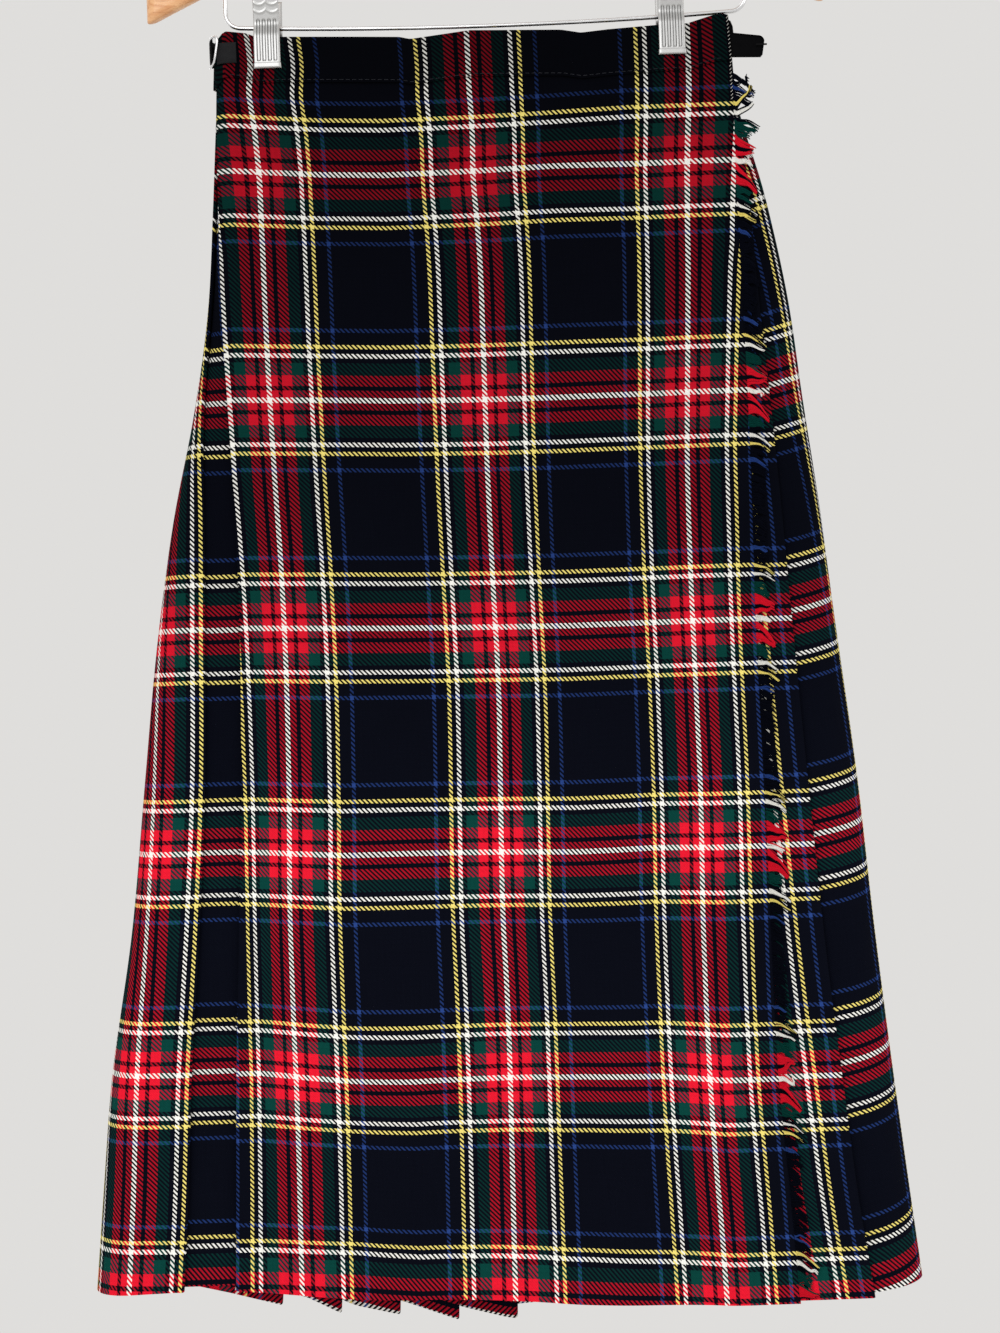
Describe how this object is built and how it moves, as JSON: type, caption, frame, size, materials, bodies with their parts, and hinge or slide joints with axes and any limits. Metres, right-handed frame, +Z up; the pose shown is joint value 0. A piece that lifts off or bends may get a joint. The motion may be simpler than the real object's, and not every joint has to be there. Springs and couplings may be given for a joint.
{
  "type": "kilted skirt on a clip hanger",
  "caption": "Long wool kilted skirt with a fringed over apron and knife pleats, hung by its waist from a wooden clip hanger.",
  "frame": {"origin": "inner top of the hanger's hook, where a rod or peg carries it", "axes": "+Z up, the front of the skirt faces -Y, and the wearer's left side is towards +X"},
  "size_m": [0.5431, 0.065, 1.0591],
  "materials": {
    "tartan": "twill wool",
    "yarn": "wool yarn",
    "leather": "soft grain",
    "wire": "bright",
    "clip": "satin",
    "wood": "clear varnish"
  },
  "bodies": {
    "root": {"over_apron": "tartan", "pleated_back": "tartan", "under_apron": "tartan", "waistband_front": "tartan", "waistband_back": "tartan", "apron_fringe": "yarn", "left_tab": "leather", "left_strap_end": "leather", "left_buckle": "wire", "right_strap": "leather", "right_strap_prong": "wire", "hanger_wood": "wood", "hanger_hook": "wire", "hanger_bar": "wire", "clip_left_front": "clip", "clip_left_back": "clip", "clip_left_core": "wire", "clip_right_front": "clip", "clip_right_back": "clip", "clip_right_core": "wire"}
  },
  "joints": []
}
